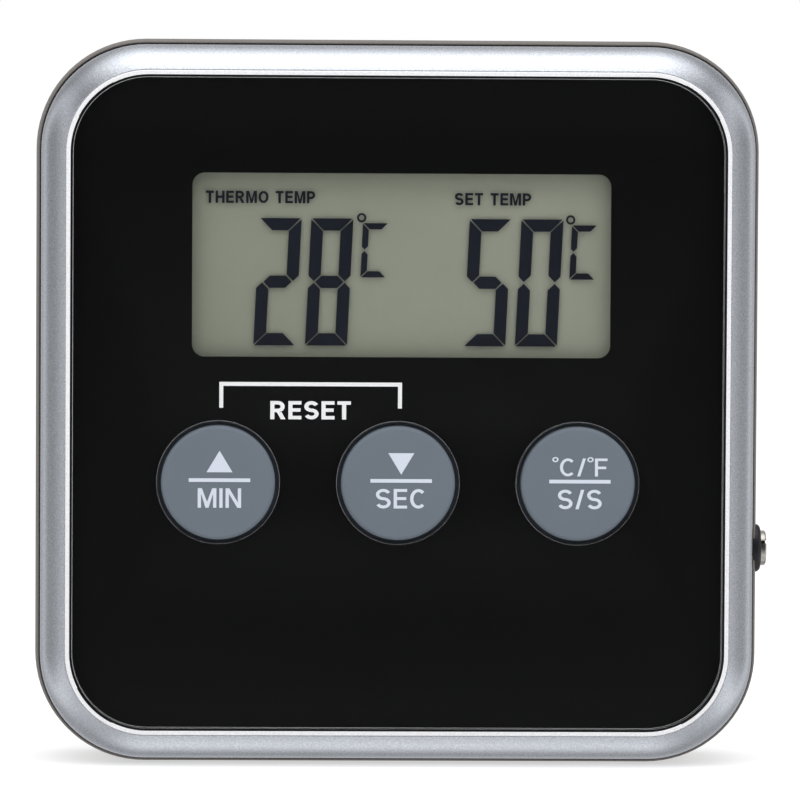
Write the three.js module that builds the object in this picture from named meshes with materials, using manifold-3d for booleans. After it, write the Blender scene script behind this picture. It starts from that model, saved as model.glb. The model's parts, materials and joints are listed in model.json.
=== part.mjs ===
// Digital probe thermometer and timer: a square, shallow case with a clear front panel.
// Units are millimetres. Inside `works`, x runs to the right, y runs back from the rim
// of the front frame, and z runs up from the middle of the face.
import * as THREE from 'three';
import { mergeVertices } from 'three/addons/utils/BufferGeometryUtils.js';
import Module from 'manifold-3d';

const wasm = await Module();
wasm.setup();

// ---------------------------------------------------------------- driving dimensions
const CASE = { width: 69.8, corner: 10.6, depth: 18, front: 4.25, wall: 2, round: 3 };
const SWELL = { depth: 7.5, width: 3 }; // the case's sides lean outwards down to this depth
const BEZEL = { width: 68.6, corner: 10.1, back: 4, slopeDepth: 3.5, slopeWidth: 2.35 };
const RECESS = { width: 62.76, corner: 7.43 }; // holds the panel
const PANEL = { width: 62.4, corner: 7.25, front: 0.15, thick: 1.2 };
const FILM = 0.15; // thickness of the printed film, and of the adhesive behind it
const ADHESIVE_EDGE = 0.95; // how far the adhesive and the floor stay back from the window
const FLOOR = { front: 1.65, back: 3.05 };
const TONGUE = { outer: 65.2, inner: 62.8, corner: 8.6, back: 6.2 }; // slips into the rear case

const WINDOW = { x: 0.26, z: 13.26, width: 40.1, height: 17.6, corner: 1.2 };
const KEYS = [
  { name: 'min', x: -17.22 },
  { name: 'sec', x: 0 },
  { name: 'start', x: 17.22 },
];
const KEY = { z: -7.55, radius: 5.46, hole: 5.86, front: -0.25, edge: 0.35, stem: 2.2 };
const FLANGE = { radius: 6.7, front: 3.15, back: 3.75 }; // keeps the key cap in its hole
const TACT = { half: 3, front: 4.9, bore: 1.8, boreBack: 6.3 }; // the switch under a key
const PLUNGER = { radius: 1.7, front: 4.25, back: 5.6 };

const GLASS = { halfWidth: 23, bottom: 1, top: 24.6, ledge: 2.6, thick: 0.8 };
const POLARISER = { margin: 0.65, corner: 1.5, thick: 0.2 };
const LCD_WALL = { side: 1.6, end: 1.4, play: 0.1 };
const STRIP = { halfWidth: 21.8, bottom: 1.2, height: 2, play: 0.1 };

const BOARD = { front: 8, back: 9.2, side: 31, top: 31, bottom: -15.2 };
const BOARD_TAB = { left: 25.8, bottom: -18.5 }; // carries the probe socket
const BOARD_SHOULDER = { x: 24.8, z: 24.8 }; // clears the upper case posts
const BLOB = { x: 8, z: -2, radius: 4.5, height: 1.3 };
const CRYSTAL = { left: -11, length: 6, radius: 1, z: 4 };

const PILOT_FRONT = 5; // where the screw holes in the front housing's posts end
const BOARD_POSTS = { radius: 1.9, pilot: 0.8, hole: 1.1 };
const BOARD_SCREWS = [[-28.3, -0.5], [28.3, -0.5], [-28.3, 21], [28.3, 21]];
const BOARD_SCREW = { seat: BOARD.back, head: 1.6, headHeight: 1.1, shank: 0.7, length: 4 };
const CASE_POSTS = { radius: 2.6, pilot: 1, back: 11 };
const CASE_SCREWS = [[-28.2, -28.2], [28.2, -28.2], [-28.2, 28.2], [28.2, 28.2]];
const CASE_SCREW = { seat: 12.4, head: 1.9, headHeight: 1.2, shank: 0.9, length: 5.4 };
const WELL = { tube: 3.1, front: 11.2, head: 2.2, shank: 1.15 };

const JACK = { y: 6.4, z: -14.05, bore: 1.28, boreStart: 26.6 };
const JACK_BODY = { left: 25.8, right: 32.7, front: 4.15, half: 2.8 };
const JACK_NOSE = { radius: 1.7, end: 35.82 };
const JACK_COLLAR = { radius: 2.33, play: 0.05, start: 33.3, end: 35.28 };
const JACK_SLOT = { left: 27, right: 31, half: 1, depth: 2 };
const JACK_BLADE = { clear: 0.2, front: 1.8, thick: 0.3 };

const CELL = { radius: 5.25, y: 11.35, z: -22, left: -20.5, right: 23.2 };
const CELL_TIP = { radius: 1.9, right: 24 };
const BAY = { halfWidth: 24.4, halfHeight: 5.45, front: 6, wall: 1, mouth: 24 };
const CONTACT = { thick: 0.4, front: 7, back: 15.6, bottom: -26.5, top: -17 };
const CONTACT_TAB = { front: 9.3, back: 11.3, top: -13.2 };
const SPRING = { turns: 3, wide: 3.6, narrow: 2.2, wire: 0.3, left: -23.6, gap: 0.45 };
const DOOR = { halfWidth: 24.6, top: -14.6, inner: 16.8, tongue: 0.7, tongueThick: 0.5, play: 0.2 };
const GRIPS = { places: [-18.6, -20.2, -21.8], halfWidth: 6, halfHeight: 0.4, depth: 0.4 };

const STAND = { halfWidth: 13.5, foot: -11.2, front: 16, back: 17.8 };
const HINGE = { y: 16.8, z: 19, knuckle: 1.1, pin: 0.72, pinEnd: 14.8, socket: 0.8, socketEnd: 15 };
const STAND_PANEL = { size: 18, corner: 2.5, z: 4.5, depth: 0.8 }; // a shallow recess in the leg
const STAND_BAY = { floor: 15.6, side: 0.4, foot: 0.3, top: 0.5 };
const STAND_BOX = { halfWidth: 15.6, front: 14.4, bottom: -12.8, top: 22.2 };
const NAIL_SLOT = { halfWidth: 5, height: 1.9, depth: 1.2 }; // lets a nail lift the leg

const MAGNET = { radius: 5, x: 23.5, z: -4, front: 16.05, back: 17.95, play: 0.05 };
const MAGNET_PAD = { rim: 1.2, front: 14.8, pocket: 16 };
const BUZZER = { radius: 7.4, x: -23, z: 12.5, thick: 0.3, cavity: 0.6 };
const CERAMIC_DISC = { radius: 5, thick: 0.2 };
const BUZZER_CUP = { rim: 1, front: 14.9, seat: 0.8, play: 0.2 };
const SOUND_HOLES = { radius: 0.6, reach: 2.6, count: 6 };
const WIRE = { radius: 0.4, gap: 0.25 }; // the gap is room for the solder at each end

const SWITCH = { z: 26.5, travel: 2 };
const SWITCH_BODY = { halfWidth: 4.25, halfHeight: 1.9, back: 12.8, slotHalf: 2.1, slotFront: 11.6 };
const LEVER = { halfWidth: 0.9, halfHeight: 0.7, front: 11.8, back: 15 };
const KNOB = { halfWidth: 1.8, halfHeight: 1.5, back: 17.7, ribDepth: 0.3, ribHalf: 0.2, play: 0.2 };
const KNOB_PLATE = { halfWidth: 4.5, halfHeight: 2.4, front: 15, back: 15.8 };
const SWITCH_BASIN = { halfWidth: 5, halfHeight: 2.6, depth: 0.8 };

const BEYOND = 0.3; // how far a cutting shape reaches past the face that it opens
const BACK = CASE.depth;
const BACK_INNER = CASE.depth - CASE.wall;

// ---------------------------------------------------------------- shapes and booleans
function roundedShape(width, height, corner, x = 0, z = 0) {
  const [w, h] = [width / 2 - corner, height / 2 - corner];
  const shape = new THREE.Shape();
  shape.absarc(x + w, z + h, corner, 0, Math.PI / 2);
  shape.absarc(x - w, z + h, corner, Math.PI / 2, Math.PI);
  shape.absarc(x - w, z - h, corner, Math.PI, 1.5 * Math.PI);
  shape.absarc(x + w, z - h, corner, 1.5 * Math.PI, 2 * Math.PI);
  return shape;
}

// A flat outline in x and z, given thickness from y = front to y = back.
function plate(shape, front, back, curveSegments = 4) {
  const options = { depth: back - front, bevelEnabled: false, curveSegments };
  return new THREE.ExtrudeGeometry(shape, options).rotateX(Math.PI / 2).translate(0, back, 0);
}

// A square block with round corners whose front and back edges curve inwards.
function domedBlock(width, corner, front, back, roundDepth, roundWidth, bevelSegments = 4) {
  const options = {
    depth: back - front - 2 * roundDepth,
    bevelThickness: roundDepth,
    bevelSize: roundWidth,
    bevelOffset: -roundWidth,
    bevelSegments,
    curveSegments: 4,
  };
  const block = new THREE.ExtrudeGeometry(roundedShape(width, width, corner), options);
  return block.rotateX(Math.PI / 2).translate(0, back - roundDepth, 0);
}

function box(x0, x1, y0, y1, z0, z1) {
  const block = new THREE.BoxGeometry(x1 - x0, y1 - y0, z1 - z0);
  return block.translate((x0 + x1) / 2, (y0 + y1) / 2, (z0 + z1) / 2);
}

function rodY(radius, front, back, x, z, sides = 20) {
  const rod = new THREE.CylinderGeometry(radius, radius, back - front, sides);
  return rod.translate(x, (front + back) / 2, z);
}

function rodX(radius, left, right, y, z, sides = 20) {
  const rod = new THREE.CylinderGeometry(radius, radius, right - left, sides);
  return rod.rotateZ(Math.PI / 2).translate((left + right) / 2, y, z);
}

// A turned piece on a y axis, from a list of [radius, y] points that runs front to back.
function turned(profile, x, z, sides = 28) {
  const points = profile.map(([radius, y]) => new THREE.Vector2(radius, y));
  return new THREE.LatheGeometry(points, sides).translate(x, 0, z);
}

function solid(geometry) {
  const bare = geometry.clone();
  bare.deleteAttribute('normal');
  bare.deleteAttribute('uv');
  const merged = mergeVertices(bare, 1e-5);
  return new wasm.Manifold(new wasm.Mesh({
    numProp: 3,
    vertProperties: new Float32Array(merged.attributes.position.array),
    triVerts: new Uint32Array(merged.index.array),
  }));
}

function surface(manifold) {
  const mesh = manifold.getMesh();
  const geometry = new THREE.BufferGeometry();
  geometry.setAttribute('position', new THREE.BufferAttribute(mesh.vertProperties, 3));
  geometry.setIndex(new THREE.BufferAttribute(mesh.triVerts, 1));
  geometry.computeVertexNormals();
  return geometry;
}

function join(...pieces) {
  return surface(pieces.map(solid).reduce((whole, piece) => whole.add(piece)));
}

function cut(body, ...tools) {
  return surface(tools.map(solid).reduce((left, tool) => left.subtract(tool), solid(body)));
}

function common(a, b) {
  return surface(solid(a).intersect(solid(b)));
}

// ---------------------------------------------------------------- materials and the scene
function finish(color, roughness, metalness = 0) {
  return new THREE.MeshStandardMaterial({ color, roughness, metalness });
}

const SILVER_PAINT = finish(0xb4b6bd, 0.35, 0.6);
const CLEAR_PLASTIC = finish(0x20242a, 0.05);
const BLACK_PRINT = finish(0x0a0a0b, 0.5);
const FOAM = finish(0x2a2a2a, 0.9);
const KEY_GREY = finish(0x6d7580, 0.6);
const CASE_GREY = finish(0x77726e, 0.55);
const LCD_GREY = finish(0x8a9180, 0.4);
const GLASS_CLEAR = finish(0xaeb8b2, 0.05);
const WHITE_PLASTIC = finish(0xe4e4e0, 0.5);
const BLACK_PLASTIC = finish(0x17171a, 0.45);
const RUBBER = finish(0x3a2f30, 0.8);
const GREEN_BOARD = finish(0x1f5b34, 0.5);
const EPOXY = finish(0x101012, 0.3);
const STEEL = finish(0xb8babd, 0.3, 1);
const NICKEL = finish(0xc9c4b8, 0.22, 1);
const BRASS = finish(0xc2a15a, 0.3, 1);
const CERAMIC = finish(0xd9d2bd, 0.6);
const FERRITE = finish(0x35353a, 0.4, 0.4);
const CELL_LABEL = finish(0x2f5fa8, 0.35, 0.3);
const RED_WIRE = finish(0xb02a24, 0.5);

const thermometer = new THREE.Group();
const works = new THREE.Group();
works.position.set(0, -CASE.depth / 2, CASE.width / 2);
thermometer.add(works);

function add(name, geometry, material) {
  const mesh = new THREE.Mesh(geometry, material);
  mesh.name = name;
  works.add(mesh);
}

// ---------------------------------------------------------------- front frame and panel
function windowCut(margin, front, back) {
  const [width, height] = [WINDOW.width + 2 * margin, WINDOW.height + 2 * margin];
  const shape = roundedShape(width, height, WINDOW.corner + margin / 2, WINDOW.x, WINDOW.z);
  return plate(shape, front - BEYOND, back + BEYOND, 2);
}

function keyCuts(radius, front, back) {
  return KEYS.map((key) => rodY(radius, front - BEYOND, back + BEYOND, key.x, KEY.z, 28));
}

function bezelRim() {
  const half = BEZEL.width / 2 + BEYOND;
  return cut(
    domedBlock(BEZEL.width, BEZEL.corner, 0, 2 * BEZEL.back, BEZEL.slopeDepth, BEZEL.slopeWidth),
    box(-half, half, BEZEL.back, 2 * BEZEL.back + BEYOND, -half, half),
    plate(roundedShape(RECESS.width, RECESS.width, RECESS.corner), -BEYOND, FLOOR.front),
    plate(roundedShape(TONGUE.inner, TONGUE.inner, RECESS.corner), FLOOR.back, BEZEL.back + BEYOND),
  );
}

// The frame that slips into the rear case, with a gap for the probe socket.
function bezelTongue() {
  const { outer, inner, corner, back } = TONGUE;
  const gap = JACK_BODY.half + JACK_COLLAR.play;
  return cut(
    plate(roundedShape(outer, outer, corner), FLOOR.back, back),
    plate(roundedShape(inner, inner, RECESS.corner), FLOOR.front, back + BEYOND),
    box(inner / 2 - 1, outer / 2 + 1, BEZEL.back, back + BEYOND, JACK.z - gap, JACK.z + gap),
  );
}

function posts(places, radius, front, back, sides) {
  return places.map(([x, z]) => rodY(radius, front, back, x, z, sides));
}

function frontBezel() {
  const base = FLOOR.back - BEYOND;
  return cut(
    join(
      bezelRim(),
      bezelTongue(),
      ...posts(CASE_SCREWS, CASE_POSTS.radius, base, CASE_POSTS.back),
      ...posts(BOARD_SCREWS, BOARD_POSTS.radius, base, BOARD.front),
    ),
    windowCut(ADHESIVE_EDGE, FLOOR.front, FLOOR.back),
    ...keyCuts(KEY.hole + 0.1, FLOOR.front, FLOOR.back),
    ...posts(CASE_SCREWS, CASE_POSTS.pilot, PILOT_FRONT, CASE_POSTS.back + BEYOND, 12),
    ...posts(BOARD_SCREWS, BOARD_POSTS.pilot, PILOT_FRONT, BOARD.front + BEYOND, 12),
  );
}

function panelLayer(inset, front, back, keyHole, ...windows) {
  const width = PANEL.width - 2 * inset;
  const sheet = plate(roundedShape(width, width, PANEL.corner - inset), front, back);
  return cut(sheet, ...keyCuts(keyHole, front, back), ...windows);
}

const panelBack = PANEL.front + PANEL.thick;
const filmEnd = panelBack + FILM;
add('front_bezel', frontBezel(), SILVER_PAINT);
add('front_panel', panelLayer(0, PANEL.front, panelBack, KEY.hole), CLEAR_PLASTIC);
add('panel_print',
  panelLayer(0.15, panelBack, filmEnd, KEY.hole, windowCut(0, panelBack, filmEnd)), BLACK_PRINT);
add('panel_adhesive', panelLayer(0.6, filmEnd, FLOOR.front, KEY.hole + BEYOND,
  windowCut(ADHESIVE_EDGE, filmEnd, FLOOR.front)), FOAM);

// ---------------------------------------------------------------- keys and their switches
function keyCap(x) {
  const cap = [
    [0, KEY.front],
    [KEY.radius - KEY.edge, KEY.front],
    [KEY.radius, KEY.front + KEY.edge],
    [KEY.radius, FLANGE.front],
    [FLANGE.radius, FLANGE.front],
    [FLANGE.radius, FLANGE.back],
    [KEY.stem, FLANGE.back],
    [KEY.stem, PLUNGER.front],
    [0, PLUNGER.front],
  ];
  return turned(cap, x, KEY.z);
}

function switchBody(x) {
  const { half, front, bore, boreBack } = TACT;
  return cut(
    box(x - half, x + half, front, BOARD.front, KEY.z - half, KEY.z + half),
    rodY(bore, front - BEYOND, boreBack, x, KEY.z, 16),
  );
}

for (const { name, x } of KEYS) {
  const plunger = rodY(PLUNGER.radius, PLUNGER.front, PLUNGER.back, x, KEY.z, 16);
  add(`button_${name}`, keyCap(x), KEY_GREY);
  add(`switch_plunger_${name}`, plunger, BLACK_PLASTIC);
  add(`switch_body_${name}`, switchBody(x), BLACK_PLASTIC);
}

// ---------------------------------------------------------------- liquid crystal display
const glassFront = FLOOR.back;
const glassMiddle = glassFront + GLASS.thick;
const glassBack = glassMiddle + GLASS.thick;
const filmBack = glassBack + POLARISER.thick;
const ledgeTop = GLASS.bottom + GLASS.ledge;

// A flat block centred on the window's middle line.
function lcdSheet(halfWidth, front, back, bottom, top) {
  return box(WINDOW.x - halfWidth, WINDOW.x + halfWidth, front, back, bottom, top);
}

function lcdFrame() {
  const { side, end, play } = LCD_WALL;
  const { halfWidth, bottom, top } = GLASS;
  const shelf = filmBack + play;
  const light = { halfWidth: 20, bottom: 7, top: 22 }; // lets light and air reach the glass
  const slot = STRIP.bottom - STRIP.play;
  return cut(
    lcdSheet(halfWidth + side, glassFront, BOARD.front, bottom - end, top + end),
    lcdSheet(halfWidth + play, glassFront - BEYOND, shelf, bottom - play, top + play),
    lcdSheet(light.halfWidth, shelf - BEYOND, BOARD.front + BEYOND, light.bottom, light.top),
    lcdSheet(STRIP.halfWidth + 0.2, shelf - BEYOND, BOARD.front + BEYOND, slot,
      slot + STRIP.height + 2 * STRIP.play),
  );
}

function lcdPolariser() {
  const { margin, corner, thick } = POLARISER;
  const [width, height] = [WINDOW.width + 2 * margin, WINDOW.height + 2 * margin];
  const shape = roundedShape(width, height, corner, WINDOW.x, WINDOW.z);
  return plate(shape, glassFront - thick, glassFront, 2);
}

function lcdReflector() {
  const inset = 0.5;
  const [low, high] = [ledgeTop + inset, GLASS.top - inset];
  return lcdSheet(GLASS.halfWidth - inset, glassBack, filmBack, low, high);
}

function glassPane(front, back, bottom) {
  return lcdSheet(GLASS.halfWidth, front, back, bottom, GLASS.top);
}

function contactStrip() {
  const { halfWidth, bottom, height } = STRIP;
  return lcdSheet(halfWidth, glassMiddle, BOARD.front, bottom, bottom + height);
}

add('lcd_polariser', lcdPolariser(), LCD_GREY);
add('lcd_front_glass', glassPane(glassFront, glassMiddle, GLASS.bottom), GLASS_CLEAR);
add('lcd_rear_glass', glassPane(glassMiddle, glassBack, ledgeTop), GLASS_CLEAR);
add('lcd_reflector', lcdReflector(), LCD_GREY);
add('lcd_frame', lcdFrame(), WHITE_PLASTIC);
add('contact_strip', contactStrip(), RUBBER);

// ---------------------------------------------------------------- circuit board
function circuitBoard() {
  const { side, top, bottom } = BOARD;
  const outline = new THREE.Shape([
    [-side, bottom],
    [BOARD_TAB.left, bottom],
    [BOARD_TAB.left, BOARD_TAB.bottom],
    [side, BOARD_TAB.bottom],
    [side, BOARD_SHOULDER.z],
    [BOARD_SHOULDER.x, BOARD_SHOULDER.z],
    [BOARD_SHOULDER.x, top],
    [-BOARD_SHOULDER.x, top],
    [-BOARD_SHOULDER.x, BOARD_SHOULDER.z],
    [-side, BOARD_SHOULDER.z],
  ].map(([x, z]) => new THREE.Vector2(x, z)));
  const [front, back] = [BOARD.front - BEYOND, BOARD.back + BEYOND];
  return cut(plate(outline, BOARD.front, BOARD.back),
    ...posts(BOARD_SCREWS, BOARD_POSTS.hole, front, back, 16));
}

// A cross-head screw whose shank points to the front of the case.
function screw(x, z, { seat, head, headHeight, shank, length }) {
  const [tip, taper, chamfer] = [shank * 0.6, 0.8, 0.4];
  const crown = seat + headHeight;
  const profile = [
    [0, seat - length],
    [tip, seat - length],
    [shank, seat - length + taper],
    [shank, seat],
    [head, seat],
    [head, crown - chamfer],
    [head - chamfer, crown],
    [0, crown],
  ];
  const [arm, half, floor] = [head * 0.55, 0.22, crown - 0.6];
  return cut(
    turned(profile, x, z, 12),
    box(x - arm, x + arm, floor, crown + BEYOND, z - half, z + half),
    box(x - half, x + half, floor, crown + BEYOND, z - arm, z + arm),
  );
}

function chipBlob() {
  const { x, z, radius, height } = BLOB;
  const dome = [0, 0.25, 0.5, 0.75].map((t) => {
    const angle = (t * Math.PI) / 2;
    return [radius * Math.cos(angle), BOARD.back + height * Math.sin(angle)];
  });
  return turned([[0, BOARD.back], ...dome, [0, BOARD.back + height]], x, z, 20);
}

function crystal() {
  const { left, length, radius, z } = CRYSTAL;
  return rodX(radius, left, left + length, BOARD.back + radius + 0.02, z, 12);
}

function boardChip(x, z, width, height, thick) {
  return box(x, x + width, BOARD.back, BOARD.back + thick, z, z + height);
}

add('circuit_board', circuitBoard(), GREEN_BOARD);
add('chip_blob', chipBlob(), EPOXY);
add('crystal', crystal(), STEEL);
add('capacitor', boardChip(-2, 9, 3.2, 1.6, 1.2), BRASS);
add('resistor', boardChip(14, 6, 2, 1.25, 0.6), BLACK_PLASTIC);
BOARD_SCREWS.forEach(([x, z], i) => {
  add(`board_screw_${i + 1}`, screw(x, z, BOARD_SCREW), STEEL);
});

// ---------------------------------------------------------------- probe socket
function jackBody() {
  const { y, z } = JACK;
  const { left, right, front, half } = JACK_BODY;
  const slot = JACK_SLOT;
  return cut(
    box(left, right, front, BOARD.front, z - half, z + half),
    rodX(JACK.bore, JACK.boreStart, right + BEYOND, y, z),
    box(slot.left, slot.right, y - slot.depth, y, z - slot.half, z + slot.half),
  );
}

function jackTube(radius, hole, left, right) {
  return cut(rodX(radius, left, right, JACK.y, JACK.z, 24),
    rodX(hole, left - BEYOND, right + BEYOND, JACK.y, JACK.z, 24));
}

function jackBlade() {
  const { clear, front, thick } = JACK_BLADE;
  const [left, right] = [JACK_SLOT.left + clear, JACK_SLOT.right - clear];
  const [y, half] = [JACK.y - front, JACK_SLOT.half - clear];
  return box(left, right, y, y + thick, JACK.z - half, JACK.z + half);
}

const noseHole = JACK_NOSE.radius + JACK_COLLAR.play;
add('jack_body', jackBody(), BLACK_PLASTIC);
add('jack_nose', jackTube(JACK_NOSE.radius, JACK.bore, JACK_BODY.right, JACK_NOSE.end), NICKEL);
add('jack_collar',
  jackTube(JACK_COLLAR.radius, noseHole, JACK_COLLAR.start, JACK_COLLAR.end), BLACK_PLASTIC);
add('jack_contact', jackBlade(), BRASS);

// ---------------------------------------------------------------- buzzer
function wire(points) {
  const path = new THREE.CatmullRomCurve3(points.map(([x, y, z]) => new THREE.Vector3(x, y, z)));
  const section = new THREE.Shape();
  section.absarc(0, 0, WIRE.radius, 0, 2 * Math.PI);
  const options = { steps: 12, curveSegments: 4, extrudePath: path, bevelEnabled: false };
  return new THREE.ExtrudeGeometry(section, options);
}

const discBack = BACK_INNER - BUZZER.cavity;
const discFront = discBack - BUZZER.thick;
const ceramicFront = discFront - CERAMIC_DISC.thick;
add('buzzer_disc', rodY(BUZZER.radius, discFront, discBack, BUZZER.x, BUZZER.z, 28), BRASS);
add('buzzer_ceramic',
  rodY(CERAMIC_DISC.radius, ceramicFront, discFront, BUZZER.x, BUZZER.z, 24), CERAMIC);
add('buzzer_wire_red', wire([
  [-20.5, ceramicFront - WIRE.gap, 12.5],
  [-20.4, 13.3, 12.4],
  [-19, 11.7, 9.5],
  [-17.1, 10.8, 6.5],
  [-17, BOARD.back + WIRE.gap, 6.4],
]), RED_WIRE);
add('buzzer_wire_black', wire([
  [-29.2, discFront - WIRE.gap, 12.5],
  [-29.1, 13.3, 12.4],
  [-27.8, 11.7, 9.5],
  [-25.9, 10.8, 6.5],
  [-25.8, BOARD.back + WIRE.gap, 6.4],
]), BLACK_PLASTIC);

// ---------------------------------------------------------------- battery and its contacts
function batteryCell() {
  const { radius, y, z, left, right } = CELL;
  const tip = rodX(CELL_TIP.radius, right - BEYOND, CELL_TIP.right, y, z, 16);
  return join(rodX(radius, left, right, y, z, 32), tip);
}

// A flat contact plate with a tab that rises to its pad on the board.
function contactPlate(left) {
  const { thick, front, back, bottom, top } = CONTACT;
  const tab = CONTACT_TAB;
  const right = left + thick;
  return join(
    box(left, right, front, back, bottom, top),
    box(left, right, tab.front, tab.back, top - BEYOND, tab.top),
  );
}

class ConicalCoil extends THREE.Curve {
  getPoint(t, target = new THREE.Vector3()) {
    const angle = t * SPRING.turns * 2 * Math.PI;
    const radius = THREE.MathUtils.lerp(SPRING.wide, SPRING.narrow, t);
    const x = THREE.MathUtils.lerp(SPRING.left, CELL.left - SPRING.gap, t);
    return target.set(x, CELL.y + radius * Math.cos(angle), CELL.z + radius * Math.sin(angle));
  }
}

function batterySpring() {
  const section = new THREE.Shape();
  section.absarc(0, 0, SPRING.wire, 0, 2 * Math.PI);
  const coil = new ConicalCoil();
  const options = { steps: 42, curveSegments: 3, extrudePath: coil, bevelEnabled: false };
  return new THREE.ExtrudeGeometry(section, options);
}

add('battery_cell', batteryCell(), CELL_LABEL);
add('battery_contact_positive', contactPlate(BAY.halfWidth - CONTACT.thick), NICKEL);
add('battery_contact_negative', contactPlate(-BAY.halfWidth), NICKEL);
add('battery_spring', batterySpring(), STEEL);

// ---------------------------------------------------------------- rear case and battery door
// The outer form: sides that swell out from the front edge, and a round back edge.
function rearForm() {
  const { width, corner, round } = CASE;
  const swollen = domedBlock(width, corner, 0, BACK + SWELL.depth + 1, SWELL.depth, SWELL.width, 6);
  return common(swollen, domedBlock(width, corner, -2 * round, BACK, round, round));
}

const rearBlock = rearForm();

function doorSlot(play) {
  const side = DOOR.halfWidth + play;
  const wide = side + DOOR.tongue;
  const [inner, step] = [DOOR.inner - play / 2, DOOR.inner + DOOR.tongueThick + play / 2];
  const [lower, upper] = [-CASE.width / 2 - BEYOND, DOOR.top + play];
  return join(
    box(-side, side, inner, BACK + BEYOND, lower, upper),
    box(-wide, wide, inner, step, lower, upper),
  );
}

function batteryDoor() {
  const { places, halfWidth, halfHeight, depth } = GRIPS;
  const grips = places.map((z) => {
    return box(-halfWidth, halfWidth, BACK - depth, BACK + 1, z - halfHeight, z + halfHeight);
  });
  return cut(common(doorSlot(0), rearBlock), ...grips);
}

function batteryBox() {
  const { halfWidth, halfHeight, front, wall } = BAY;
  const [side, high] = [halfWidth + wall, halfHeight + wall];
  return box(-side, side, front - wall, BACK_INNER + BEYOND, CELL.z - high, CELL.z + high);
}

function magnetRods(radius, front, back) {
  return [-1, 1].map((side) => rodY(radius, front, back, side * MAGNET.x, MAGNET.z, 28));
}

function rearAdditions() {
  const inside = BACK_INNER + BEYOND;
  const { halfWidth, front, bottom, top } = STAND_BOX;
  return [
    batteryBox(),
    box(-halfWidth, halfWidth, front, inside, bottom, top),
    rodY(BUZZER.radius + BUZZER_CUP.rim, BUZZER_CUP.front, inside, BUZZER.x, BUZZER.z, 28),
    ...magnetRods(MAGNET.radius + MAGNET_PAD.rim, MAGNET_PAD.front, inside),
    ...posts(CASE_SCREWS, WELL.tube, WELL.front, inside),
  ];
}

function batteryCuts() {
  const { halfWidth, halfHeight, front, mouth } = BAY;
  const [low, high] = [CELL.z - halfHeight, CELL.z + halfHeight];
  const tabSlots = [-1, 1].map((side) => {
    const x = side * (halfWidth - BEYOND);
    const { front: tabFront, back: tabBack } = CONTACT_TAB;
    return box(x - 0.5, x + 0.5, tabFront - BEYOND, tabBack + BEYOND, high - BEYOND, high + 2);
  });
  return [
    box(-halfWidth, halfWidth, front, BACK_INNER - 0.2, low, high),
    box(-mouth, mouth, BACK_INNER - 0.4, BACK + BEYOND, low, high),
    doorSlot(DOOR.play),
    ...tabSlots,
  ];
}

function standCuts() {
  const { foot } = STAND;
  const side = STAND.halfWidth + STAND_BAY.side;
  const top = HINGE.z + HINGE.knuckle + STAND_BAY.top;
  const nail = NAIL_SLOT;
  return [
    box(-side, side, STAND_BAY.floor, BACK + BEYOND, foot - STAND_BAY.foot, top),
    box(-nail.halfWidth, nail.halfWidth, BACK - nail.depth, BACK + BEYOND, foot - nail.height, foot),
    rodX(HINGE.socket, -HINGE.socketEnd, HINGE.socketEnd, HINGE.y, HINGE.z, 16),
  ];
}

function soundHoles() {
  const { radius, reach, count } = SOUND_HOLES;
  const places = [[BUZZER.x, BUZZER.z]];
  for (let i = 0; i < count; i += 1) {
    const angle = (i * 2 * Math.PI) / count;
    places.push([BUZZER.x + reach * Math.cos(angle), BUZZER.z + reach * Math.sin(angle)]);
  }
  return posts(places, radius, BACK_INNER - 1, BACK + BEYOND, 10);
}

function buzzerCuts() {
  const { seat, play } = BUZZER_CUP;
  const front = BUZZER_CUP.front - BEYOND;
  return [
    rodY(BUZZER.radius - seat, front, BACK_INNER, BUZZER.x, BUZZER.z, 28),
    rodY(BUZZER.radius + play, front, discBack, BUZZER.x, BUZZER.z, 28),
    ...soundHoles(),
  ];
}

function switchCuts() {
  const basin = SWITCH_BASIN;
  const slot = KNOB.halfWidth + SWITCH.travel / 2 + KNOB.play;
  const high = KNOB.halfHeight + KNOB.play;
  const { z } = SWITCH;
  return [
    box(-slot, slot, BACK_INNER - BEYOND, BACK + BEYOND, z - high, z + high),
    box(-basin.halfWidth, basin.halfWidth, BACK - basin.depth, BACK + BEYOND,
      z - basin.halfHeight, z + basin.halfHeight),
  ];
}

function screwWells() {
  return [
    ...posts(CASE_SCREWS, WELL.head, CASE_SCREW.seat, BACK + BEYOND, 20),
    ...posts(CASE_SCREWS, WELL.shank, WELL.front - BEYOND, CASE_SCREW.seat + BEYOND, 12),
  ];
}

function rearCase() {
  const { width, corner, wall, front } = CASE;
  const [half, inside] = [width / 2 + 1, width - 2 * wall];
  const socketHole = JACK_COLLAR.radius + JACK_COLLAR.play;
  const shell = cut(
    rearBlock,
    box(-half, half, -1, front, -half, half),
    plate(roundedShape(inside, inside, corner - wall), front - 1, BACK_INNER),
  );
  return cut(
    join(shell, ...rearAdditions()),
    ...batteryCuts(),
    ...standCuts(),
    ...buzzerCuts(),
    ...switchCuts(),
    ...screwWells(),
    ...magnetRods(MAGNET.radius + MAGNET.play, MAGNET_PAD.pocket, BACK + BEYOND),
    rodX(socketHole, inside / 2 - 1, width / 2 + 1, JACK.y, JACK.z, 24),
  );
}

add('rear_case', rearCase(), CASE_GREY);
add('battery_door', batteryDoor(), CASE_GREY);
CASE_SCREWS.forEach(([x, z], i) => {
  add(`case_screw_${i + 1}`, screw(x, z, CASE_SCREW), STEEL);
});
magnetRods(MAGNET.radius, MAGNET.front, MAGNET.back).forEach((disc, i) => {
  add(['magnet_left', 'magnet_right'][i], disc, FERRITE);
});

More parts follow.
